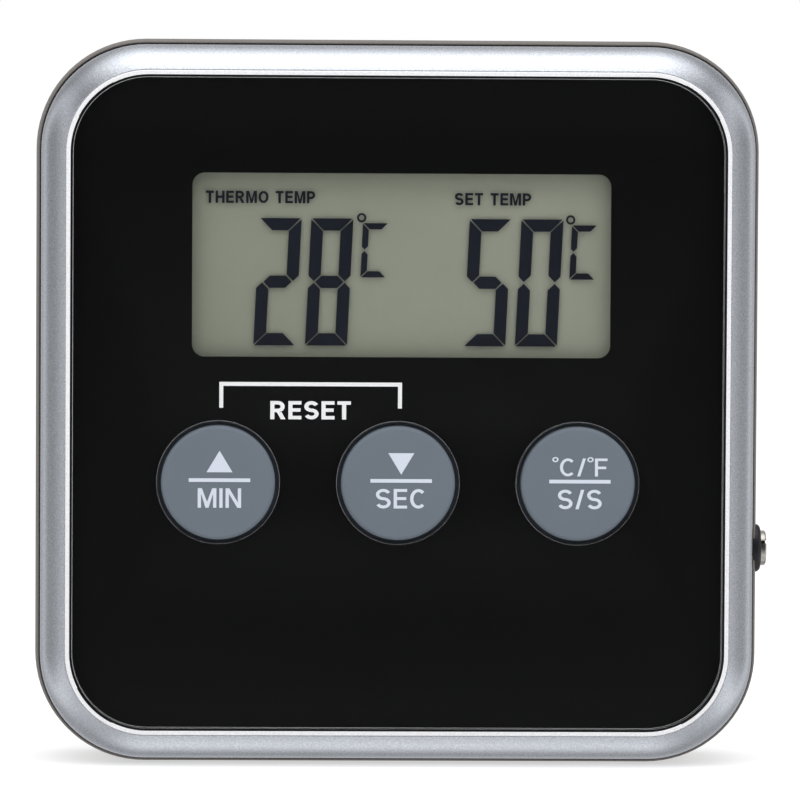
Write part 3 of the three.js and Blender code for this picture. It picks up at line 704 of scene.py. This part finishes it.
def glyph(sign, s):
    """A plain capital, 1 tall, drawn with strokes s thick: (width, outlines)."""
    half, top = s / 2, 1 - s / 2
    if sign == "C":
        return 0.72, [thick(oval(0.37, 0.5, 0.37 - half, 0.5 - half, 46, 268), s)]
    if sign == "E":
        arms = thick([(0.6, top), (half, top), (half, half), (0.6, half)], s)
        return 0.6, [arms, rectangle(s, 0.56, 0.51 - half, 0.51 + half)]
    if sign == "F":
        arms = thick([(0.58, top), (half, top), (half, 0)], s)
        return 0.58, [arms, rectangle(s, 0.52, 0.48 - half, 0.48 + half)]
    if sign == "H":
        posts = [rectangle(0, s, 0, 1), rectangle(0.7 - s, 0.7, 0, 1)]
        return 0.7, [*posts, rectangle(s, 0.7 - s, 0.5 - half, 0.5 + half)]
    if sign == "I":
        return s, [rectangle(0, s, 0, 1)]
    if sign == "M":
        w, lean, foot = 0.84, 1.25 * s, 0.45 * s
        return w, [[(0, 0), (0, 1), (lean, 1), (w / 2, 0.3), (w - lean, 1), (w, 1), (w, 0),
                    (w - s, 0), (w - s, 0.72), (w / 2 + foot, 0), (w / 2 - foot, 0),
                    (s, 0.72), (s, 0)]]
    if sign == "N":
        w, lean = 0.7, 1.12 * s
        return w, [[(0, 0), (0, 1), (lean, 1), (w - s, 0.28), (w - s, 1), (w, 1), (w, 0),
                    (w - lean, 0), (s, 0.72), (s, 0)]]
    if sign == "O":
        return 0.78, ring_halves(0.39, 0.5, 0.39 - half, 0.5 - half, s)
    if sign == "P":
        return 0.64, [bowl(s, 0.64, 0.44)]
    if sign == "R":
        low = 0.48
        leg = [(0.3, low - half), (0.3 + 1.15 * s, low - half), (0.7, 0), (0.7 - 1.15 * s, 0)]
        return 0.7, [bowl(s, 0.66, low), leg]
    if sign == "S":
        rise, rx = (1 - s) / 4, 0.33 - half
        upper = oval(0.33, 0.5 + rise, rx, rise, 22, 248)
        lower = oval(0.33, 0.5 - rise, rx, rise, 90, -248)
        return 0.66, [thick(upper + lower[1:], s)]
    if sign == "T":
        return 0.62, [rectangle(0, 0.62, 1 - s, 1), rectangle(0.31 - half, 0.31 + half, 0, 1 - s)]
    if sign == "/":
        return 0.4, [[(0, 0), (0.4 - s, 1), (0.4, 1), (s, 0)]]
    if sign == "°":
        return 0.26, ring_halves(0.13, 0.93, 0.11, 0.11, s * 0.5)
    return 0.3, []


def words(name, text, width, x, z, height, d, stroke=0.15, gap=0.13, thickness=0.012):
    """A line of capitals, centred on x with its foot at z, at height, and width across."""
    letters, reach = [], 0.0
    for sign in text:
        letter_width, outlines = glyph(sign, stroke)
        letters.append((reach, outlines))
        reach += letter_width + gap
    scale = width / (reach - gap)
    left = x - width / 2
    parts = []
    for start, outlines in letters:
        for outline in outlines:
            placed = [(left + (start + u) * scale, z + v * height) for u, v in outline]
            parts.append(flat_shape("part", placed, d, thickness))
    return joined(name, parts)


def make_print():
    """The white bracket over the first two keys and its word, under the clear panel."""
    (_, front, _), _ = local_box("panel_print")
    d = front + PRINT_GAP / 2
    left, _ = key_place("min")
    right, _ = key_place("sec")
    line, top, foot = 0.38, 2.03, -0.45
    left, right = left + 0.08, right + 0.36
    outline = [(left, foot), (left, top), (right, top), (right, foot), (right - line, foot),
               (right - line, top - line), (left + line, top - line), (left + line, foot)]
    bracket = flat_shape("print_bracket", outline, d)
    finish_piece(bracket, "case", "white_print")
    word = words("print_reset", "RESET", 7.72, -8.39, -1.53, 1.75, d, 0.19)
    finish_piece(word, "case", "white_print")


def key_legend(key, d):
    """A bar, with a triangle or the units above it and a word below it."""
    x, z = key_place(key)
    x += LEGEND_SHIFT[key]
    bar = flat_shape("bar", rectangle(x - 2.94, x + 2.94, z + 0.07, z + 0.42), d)
    foot, tall = z - 2.4, 1.87
    half = 1.245
    if key == "min":
        mark = flat_shape("mark", [(x - half, z + 1), (x + half, z + 1), (x, z + 3.06)], d)
        word = words("word", "MIN", 4.15, x, foot, tall, d)
    elif key == "sec":
        mark = flat_shape("mark", [(x - half, z + 2.9), (x, z + 0.84), (x + half, z + 2.9)], d)
        word = words("word", "SEC", 4.82, x, foot, tall, d)
    else:
        mark = words("mark", "°C/°F", 5.26, x, z + 0.75, 1.72, d, 0.14, 0.08)
        word = words("word", "S/S", 4.2, x, foot, tall, d)
    legend = joined(f"key_legend_{key}", [bar, mark, word])
    finish_piece(legend, f"button_{key}", "white_print", material="key_print")


# ---------------------------------------------------------------- keys
KEY_RADIUS, KEY_EDGE, KEY_STEM = 5.46, 0.42, 2.2
FLANGE_FRONT, FLANGE_BACK = 3.15, 3.75


def make_key(key):
    low, high = local_box("button_" + key)
    x, z = key_place(key)
    front, back = low[1], high[1]
    radius, edge = KEY_RADIUS, KEY_EDGE
    flange = (high[0] - low[0]) / 2
    profile = [(0, front + 0.02), (radius * 0.6, front + 0.012), (radius - edge, front)]
    for i in range(1, 7):
        angle = math.pi / 2 * i / 6
        profile.append((radius - edge + edge * math.sin(angle),
                        front + edge * (1 - math.cos(angle))))
    profile += [(radius, FLANGE_FRONT), (flange, FLANGE_FRONT), (flange, FLANGE_BACK)]
    profile += [(KEY_STEM, FLANGE_BACK), (KEY_STEM, back), (0, back)]
    cap = smooth(turned(f"key_cap_{key}", profile, (x, z), steps=112))
    finish_piece(cap, f"button_{key}", "key_grey", ["button_" + key])
    key_legend(key, front + 0.006)


# ---------------------------------------------------------------- display
SEGMENT_LIFT = 0.3  # the segments stand this far in front of the film that they shade
DIGIT = {"height": 12.2, "width": 4.03, "stroke": 1.17, "slant": 0.046, "gap": 0.085}
SEGMENTS = {"0": "abcdef", "2": "abged", "5": "afgcd", "8": "abcdefg", "C": "afed"}


def segment_outlines(width, height, stroke, gap):
    """Each segment of a seven-segment digit as upright (x, z) points, with mitred ends."""
    w, h, s, g = width, height, stroke, gap
    mid, half = h / 2, s / 2
    upper, lower = mid + g / 2, mid - g / 2
    return {
        "a": [(g, h), (w - g, h), (w - s - g, h - s), (s + g, h - s)],
        "d": [(g, 0), (s + g, s), (w - s - g, s), (w - g, 0)],
        "f": [(0, h - g), (s, h - s - g), (s, upper + half + g), (half * 0.9, upper + g * 0.4),
              (0, upper + half * 0.9 + g * 0.4)],
        "b": [(w, h - g), (w, upper + half * 0.9 + g * 0.4), (w - half * 0.9, upper + g * 0.4),
              (w - s, upper + half + g), (w - s, h - s - g)],
        "e": [(0, g), (0, lower - half * 0.9 - g * 0.4), (half * 0.9, lower - g * 0.4),
              (s, lower - half - g), (s, s + g)],
        "c": [(w, g), (w - s, s + g), (w - s, lower - half - g), (w - half * 0.9, lower - g * 0.4),
              (w, lower - half * 0.9 - g * 0.4)],
        "g": [(half + g, mid), (s + g, mid + half), (w - s - g, mid + half), (w - half - g, mid),
              (w - s - g, mid - half), (s + g, mid - half)],
    }


def digit(name, sign, x, z, width, height, stroke, gap, d):
    outlines = segment_outlines(width, height, stroke, gap)
    parts = []
    for part in SEGMENTS[sign]:
        leaned = [(x + px + pz * DIGIT["slant"], z + pz) for px, pz in outlines[part]]
        parts.append(flat_shape("part", leaned, d, 0.03))
    return joined(name, parts)


def ring_mark(name, x, z, outer, inner, d):
    return slab(name, lambda g: circle(outer, x, z, g, 40), [lambda g: circle(inner, x, z, g, 40)],
                d - 0.015, d + 0.015, 0.004, 1)


def make_display():
    (_, film, _), _ = local_box("lcd_polariser")
    d = film - SEGMENT_LIFT
    foot, size = 5.52, DIGIT
    digits = [("2", -13.91), ("8", -8.95), ("5", 6.25), ("0", 11.22)]
    for i, (sign, x) in enumerate(digits):
        shape = digit(f"lcd_digit_{i + 1}", sign, x, foot, size["width"], size["height"],
                      size["stroke"], size["gap"], d)
        finish_piece(shape, "case", "lcd_segment")
    for name, x, z in (("left", -3.62, 12.08), ("right", 16.45, 11.97)):
        unit = digit("unit", "C", x - 0.05, z, 2.45, 5.2, 0.59, 0.07, d)
        ring = ring_mark("ring", x + 0.05, z + 5.72, 0.45, 0.25, d)
        finish_piece(joined(f"lcd_unit_{name}", [unit, ring]), "case", "lcd_segment")
    left = words("lcd_label_left", "THERMO TEMP", 10.46, -13.27, 19.15, 1.17, d, 0.19)
    finish_piece(left, "case", "lcd_segment")
    right = words("lcd_label_right", "SET TEMP", 7.33, 9.03, 19.05, 1.17, d, 0.19)
    finish_piece(right, "case", "lcd_segment")


# ---------------------------------------------------------------- probe socket
NOSE_RADIUS, NOSE_BORE, COLLAR_RADIUS = 1.7, 1.28, 2.33
COLLAR_DOME = 0.5  # how much of the collar's length is rounded
SPLIT_FOOT, SPLIT_WIDTH = 0.52, 0.28  # the narrow split in the front of the nose


def make_socket():
    (left, _, _), (right, _, _) = local_box("jack_nose")
    _, d, z = local_middle("jack_nose")
    nose, bore, lip = NOSE_RADIUS, NOSE_BORE, 0.18
    profile = [(bore, left), (nose, left), (nose, right - lip), (nose - 0.06, right - 0.06),
               (nose - lip, right), (bore + 0.06, right), (bore, right - 0.08)]
    tube = turned("socket_nose", profile, (d, z), axis="x", steps=64)
    split = z + SPLIT_FOOT
    boolean(tube, [block(left - 1, right + 1, d - 2, d, split, split + SPLIT_WIDTH)],
            "DIFFERENCE")
    smooth(tube)
    finish_piece(tube, "case", "nickel", ["jack_nose"])
    # painted shade: a thin black sheet on the wall of the nose's bore stands in for the shade
    # inside the socket
    sleeve = [(bore - 0.02, left), (bore - 0.005, left), (bore - 0.005, right - 0.1),
              (bore - 0.02, right - 0.1)]
    bore_shade = smooth(turned("socket_bore_shade", sleeve, (d, z), axis="x", steps=64))
    finish_piece(bore_shade, "case", "black_plastic")
    (left, _, _), (right, _, _) = local_box("jack_collar")
    outer, inner = COLLAR_RADIUS, nose + 0.05
    profile = [(inner, left), (outer, left)]
    for u, v in arc(0, 0, 1, 0, 90, 10):
        profile.append((inner + 0.15 + (outer - inner - 0.15) * u,
                        right - COLLAR_DOME + COLLAR_DOME * v))
    profile.append((inner, right - 0.08))
    ring = smooth(turned("socket_collar", profile, (d, z), axis="x", steps=64))
    finish_piece(ring, "case", "black_plastic", ["jack_collar"])


# ---------------------------------------------------------------- rear case
CASE_HALF = (CASE_HIGH.x - CASE_LOW.x) / 2 / MM
CASE_CORNER = 10.6
CASE_FRONT = (CASE_LOW.y - RIM_Y) / MM
CASE_BACK = (CASE_HIGH.y - RIM_Y) / MM
CASE_ROUND, WALL = 3.0, 2.0
SWELL_DEPTH, SWELL_WIDTH = 7.5, 3.0  # the sides lean outwards from the front to this depth
INNER_BACK = CASE_BACK - WALL
BEYOND = 0.4  # how far a tool reaches past the face that it opens
BAY_SIDE, BAY_UP, BAY_FRONT, BAY_WALL, BAY_MOUTH = 24.4, 5.45, 6, 1, 24  # the cell's bay
DOOR_LIP, DOOR_PLAY = 0.7, 0.2
LEG_FLOOR = 15.6
HINGE = (16.8, 19)  # depth and height of the leg's pins
SCREW_SEAT = 12.4
GRIP_PLACES = (-18.6, -20.2, -21.8)


def swell(d):
    """How far the case's sides stay back from full width at depth d."""
    if d >= SWELL_DEPTH:
        return 0.0
    rise = (SWELL_DEPTH - d) / SWELL_DEPTH
    return SWELL_WIDTH * (1 - math.sqrt(1 - rise * rise))


def case_block(name, front):
    """The case's outer form as a solid, with swollen sides and a round back edge."""
    lip = swell(front)
    sections = [(lip + 0.26, front + 0.7), (lip + 0.2, front + 0.1), (lip + 0.12, front)]
    sections += [(swell(front + 0.1) + 0.02, front + 0.04)]
    for i in range(1, 9):
        d = front + 0.1 + (SWELL_DEPTH - front - 0.1) * i / 8
        sections.append((swell(d), d))
    steps = 12
    for i in range(steps + 1):
        angle = math.pi / 2 * i / steps
        sections.append((CASE_ROUND * (1 - math.cos(angle)),
                         CASE_BACK - CASE_ROUND * (1 - math.sin(angle))))
    rings = []
    for inset, d in sections:
        width = 2 * (CASE_HALF - inset)
        rings.append([(x, d, z) for x, z in rounded(width, width, CASE_CORNER - inset)])
    return loft(name, rings)


def door_tool(play, name="tool"):
    low, high = local_box("battery_door")
    side, top, inner = high[0] - DOOR_LIP + play, high[2] + play, low[1] - play / 2
    foot = -CASE_HALF - BEYOND
    plate = block(-side, side, inner, CASE_BACK + BEYOND, foot, top, name)
    lips = block(-side - DOOR_LIP, side + DOOR_LIP, inner, low[1] + 0.5 + play / 2, foot, top)
    return boolean(plate, [lips], "UNION")


def case_additions():
    """The walls and posts inside the case, before they are hollowed out."""
    _, _, cell_z = local_middle("battery_cell")
    inside = INNER_BACK + BEYOND
    side, up = BAY_SIDE + BAY_WALL, BAY_UP + BAY_WALL
    parts = [block(-side, side, BAY_FRONT - BAY_WALL, inside, cell_z - up, cell_z + up)]
    parts.append(block(-15.6, 15.6, 14.4, inside, -12.8, 22.2))  # behind the stand leg
    buzzer_x, _, buzzer_z = local_middle("buzzer_disc")
    parts.append(rod(8.4, 14.9, inside, buzzer_x, buzzer_z, 64))
    for side_name in ("left", "right"):
        parts.append(rod(6.2, 14.8, inside, *local_xz(f"magnet_{side_name}")))
    for i in range(1, 5):
        parts.append(rod(3.1, 11.2, inside, *local_xz(f"case_screw_{i}")))
    return parts


def case_cuts():
    """The hollows and openings of the case, in the order of the parts that they hold."""
    _, _, cell_z = local_middle("battery_cell")
    low, high = cell_z - BAY_UP, cell_z + BAY_UP
    leg_low, leg_high = local_box("stand_leg")
    out = CASE_BACK + BEYOND
    cuts = [block(-BAY_SIDE, BAY_SIDE, BAY_FRONT, INNER_BACK - 0.2, low, high)]
    cuts.append(block(-BAY_MOUTH, BAY_MOUTH, INNER_BACK - 0.4, out, low, high))
    cuts.append(door_tool(DOOR_PLAY))
    cuts += [block(x - 0.5, x + 0.5, 9, 11.6, high - 0.3, high + 2) for x in (-24.1, 24.1)]
    foot = leg_low[2]
    cuts.append(block(-13.9, 13.9, LEG_FLOOR, out, foot - 0.3, leg_high[2] + 0.5))
    cuts.append(block(-5, 5, CASE_BACK - 1.2, out, foot - 1.9, foot))
    cuts.append(rod_x(0.8, -15, 15, *HINGE, 32))
    buzzer_x, _, buzzer_z = local_middle("buzzer_disc")
    cuts.append(rod(6.6, 14.6, INNER_BACK, buzzer_x, buzzer_z, 64))
    cuts.append(rod(7.6, 14.6, INNER_BACK - 0.6, buzzer_x, buzzer_z, 64))
    for i in range(7):
        angle = math.pi / 3 * i
        reach = 2.6 if i < 6 else 0
        x, z = buzzer_x + reach * math.cos(angle), buzzer_z + reach * math.sin(angle)
        cuts.append(rod(0.6, INNER_BACK - 1, out, x, z, 24))
    for side_name in ("left", "right"):
        cuts.append(rod(5.05, 16, out, *local_xz(f"magnet_{side_name}"), 72))
    for i in range(1, 5):
        cuts.append(rod(2.2, SCREW_SEAT, out, *local_xz(f"case_screw_{i}")))
        cuts.append(rod(1.15, 10.9, SCREW_SEAT + 0.4, *local_xz(f"case_screw_{i}"), 24))
    _, _, knob_z = local_middle("mode_knob")
    cuts.append(block(-3, 3, INNER_BACK - 0.3, out, knob_z - 1.7, knob_z + 1.7))
    cuts.append(block(-5, 5, CASE_BACK - 0.8, out, knob_z - 2.6, knob_z + 2.6))
    _, d, z = local_middle("jack_nose")
    cuts.append(rod_x(COLLAR_RADIUS + 0.05, CASE_HALF - WALL - 1, CASE_HALF + 1, d, z, 64))
    return cuts


def make_rear_case():
    shell = case_block("rear_shell", CASE_FRONT)
    inside = 2 * (CASE_HALF - WALL)
    inner = slab("tool", lambda g: rounded(inside, inside, CASE_CORNER - WALL, grow=g), [],
                 CASE_FRONT - 1, INNER_BACK, 0.3)
    boolean(shell, [inner], "DIFFERENCE")
    boolean(shell, case_additions(), "UNION")
    boolean(shell, case_cuts(), "DIFFERENCE")
    soften(shell, 0.12)
    apply_modifiers(shell)
    smooth(shell, 30)
    finish_piece(shell, "case", "case_grey", ["rear_case"])


def make_door():
    door = case_block("battery_cover", CASE_FRONT)
    boolean(door, [door_tool(0)], "INTERSECT")
    grips = [block(-6, 6, CASE_BACK - 0.4, CASE_BACK + 1, z - 0.4, z + 0.4)
             for z in GRIP_PLACES]
    boolean(door, grips, "DIFFERENCE")
    soften(door, 0.12)
    apply_modifiers(door)
    smooth(door, 30)
    finish_piece(door, "battery_door", "case_grey", ["battery_door"])


# ---------------------------------------------------------------- nodes kept from the CAD
def finish_nodes():
    """Kept nodes get their material, and some of them slightly rounded edges."""
    slots = {s["node"]: s["material_slot"] for s in frame["record"]["subparts"]}
    for name, obj in frame["nodes"].items():
        dress_node(obj, MATERIALS[slots[name]])
    for name in ("stand_leg", "mode_knob", "switch_body_min", "switch_body_sec",
                 "switch_body_start", "jack_body", "crystal"):
        soften(frame["nodes"][name], 0.12)


def dress_node(obj, material):
    for slot in obj.material_slots:
        slot.material = material
    if not obj.material_slots:
        obj.data.materials.append(material)


# ---------------------------------------------------------------- stage, light and camera
def make_stage():
    size = 6.0
    points = [(-size, -size, 0), (size, -size, 0), (size, size, 0), (-size, size, 0)]
    mesh = bpy.data.meshes.new("floor")
    mesh.from_pydata(points, [], [(0, 1, 2, 3)])
    floor = bpy.data.objects.new("floor", mesh)
    bpy.context.scene.collection.objects.link(floor)
    paper = surface("floor_paper", (0.5, 0.5, 0.5), 0.9, cloud=3, grain=400, vary=0.01,
                    specular=0.1)
    shader = paper.node_tree.nodes["Principled BSDF"]
    shader.inputs["Emission Color"].default_value = (1, 1, 1, 1)
    shader.inputs["Emission Strength"].default_value = 0.55
    floor.data.materials.append(paper)
    floor.visible_glossy = False


def softbox(name, place_at, aim, width, height, power):
    light = bpy.data.lights.new(name, "AREA")
    light.shape = "RECTANGLE"
    light.size, light.size_y = width, height
    light.energy = power
    obj = bpy.data.objects.new(name, light)
    obj.location = place_at
    obj.rotation_euler = (Vector(aim) - Vector(place_at)).to_track_quat("-Z", "Y").to_euler()
    obj.visible_camera = False
    obj.visible_glossy = False
    bpy.context.scene.collection.objects.link(obj)


# What gloss mirrors of the room, by direction: (direction's part along the axis, brightness).
# The upward one is multiplied by FRONT_SHARE, along y, and then the three are added up.
TOP_LEVEL = 2.0  # no ramp goes above this
UP_GLOSS = [(-1, 0.8), (-0.96, 0.42), (-0.86, 0.16), (-0.7, 0.28), (-0.4, 0.15), (0, 0),
            (0.65, 0), (0.8, 0.3), (0.9, 0.85), (0.96, 1.2), (1, 1.5)]
FRONT_SHARE = [(-1, 1), (-0.5, 2), (-0.2, 1.6), (0, 1.15), (0.45, 0.6), (1, 0.5)]
SIDE_GLOSS = [(-1, 0), (-0.97, 0.03), (-0.87, 0.6), (-0.72, 0), (0.7, 0), (0.86, 0.68),
              (0.97, 0.06), (1, 0.06)]
BACK_GLOSS = [(-1, 0.02), (-0.3, 0.07), (0, 0.1), (0.3, 0.06), (0.6, 0.15), (1, 0.6)]
UP_SOFT = [(-1, 0.5), (0, 0.7), (1, 1.3)]  # what lights matt surfaces


def level_ramp(tree, value, stops):
    """A smooth brightness for each value from -1 to 1."""
    curve = tree.nodes.new("ShaderNodeFloatCurve")
    share = tree.nodes.new("ShaderNodeMapRange")
    share.inputs["From Min"].default_value = -1
    tree.links.new(value, share.inputs["Value"])
    tree.links.new(share.outputs["Result"], curve.inputs["Value"])
    points = curve.mapping.curves[0].points
    while len(points) < len(stops):
        points.new(0.5, 0.5)
    for point, (at, level) in zip(points, stops):
        point.location = ((at + 1) / 2, level / TOP_LEVEL)
        point.handle_type = "VECTOR"
    curve.mapping.update()
    return math_node(tree, "MULTIPLY", curve.outputs["Value"], TOP_LEVEL)


def room(tree, colour, strength):
    node = tree.nodes.new("ShaderNodeBackground")
    node.inputs["Color"].default_value = (*colour, 1)
    tree.links.new(strength, node.inputs["Strength"])
    return node.outputs[0]


def make_world():
    """A white room to look at, an even one for matt surfaces, and a shaped one for gloss."""
    world = bpy.data.worlds.new("studio")
    bpy.context.scene.world = world
    world.use_nodes = True
    world.cycles.sampling_method = "NONE"
    tree = world.node_tree
    x, y, z = split_axes(tree, tree.nodes.new("ShaderNodeTexCoord").outputs["Generated"])
    upward = math_node(tree, "MULTIPLY", level_ramp(tree, z, UP_GLOSS),
                       level_ramp(tree, y, FRONT_SHARE))
    sideways = level_ramp(tree, x, SIDE_GLOSS)
    backward = level_ramp(tree, y, BACK_GLOSS)
    mirrored = math_node(tree, "ADD", math_node(tree, "ADD", upward, sideways), backward)
    rays = tree.nodes.new("ShaderNodeLightPath")
    soft = room(tree, (0.985, 0.99, 1.0), level_ramp(tree, z, UP_SOFT))
    glossy = room(tree, (0.97, 0.985, 1.0), mirrored)
    seen = tree.nodes["Background"]
    seen.inputs["Color"].default_value = (1, 1, 1, 1)
    lit = mixed_shader(tree, rays.outputs["Is Glossy Ray"], soft, glossy)
    shown = mixed_shader(tree, rays.outputs["Is Camera Ray"], lit, seen.outputs[0])
    tree.links.new(shown, tree.nodes["World Output"].inputs["Surface"])


def make_lights():
    middle = tuple(MIDDLE)
    softbox("top_softbox", (0.0, -0.2, 0.5), middle, 0.5, 0.35, 1.2)
    softbox("left_softbox", (-0.5, -0.12, 0.22), middle, 0.25, 0.4, 0.15)
    softbox("right_softbox", (0.5, -0.12, 0.22), middle, 0.25, 0.4, 0.15)


CAMERA = {"azimuth": -1.5, "elevation": 2.6, "roll": 0.33, "distance": 0.55}
FRAME_WIDTH = 0.0765  # the width that the view takes in at the front panel, in metres
AIM = (0.14, 0, 0.43)  # local millimetres from the panel's middle to the picture's middle


def make_camera():
    a, e = math.radians(CAMERA["azimuth"]), math.radians(CAMERA["elevation"])
    back = Vector((math.sin(a) * math.cos(e), -math.cos(a) * math.cos(e), math.sin(e)))
    data = bpy.data.cameras.new("camera")
    data.sensor_width = 36
    data.lens = data.sensor_width * CAMERA["distance"] / FRAME_WIDTH
    camera = bpy.data.objects.new("camera", data)
    camera.location = place(*AIM) + back * CAMERA["distance"]
    camera.rotation_mode = "QUATERNION"
    turn = (-back).to_track_quat("-Z", "Y")
    roll = Quaternion((0, 0, 1), math.radians(CAMERA["roll"]))
    camera.rotation_quaternion = turn @ roll
    bpy.context.scene.collection.objects.link(camera)
    bpy.context.scene.camera = camera


# ---------------------------------------------------------------- the whole
make_camera()
make_world()
make_lights()
make_stage()
finish_nodes()
make_bezel()
make_panel()
make_print()
for key_name in KEYS:
    make_key(key_name)
make_display()
make_socket()
make_rear_case()
make_door()
bpy.context.scene.view_settings.view_transform = "Standard"
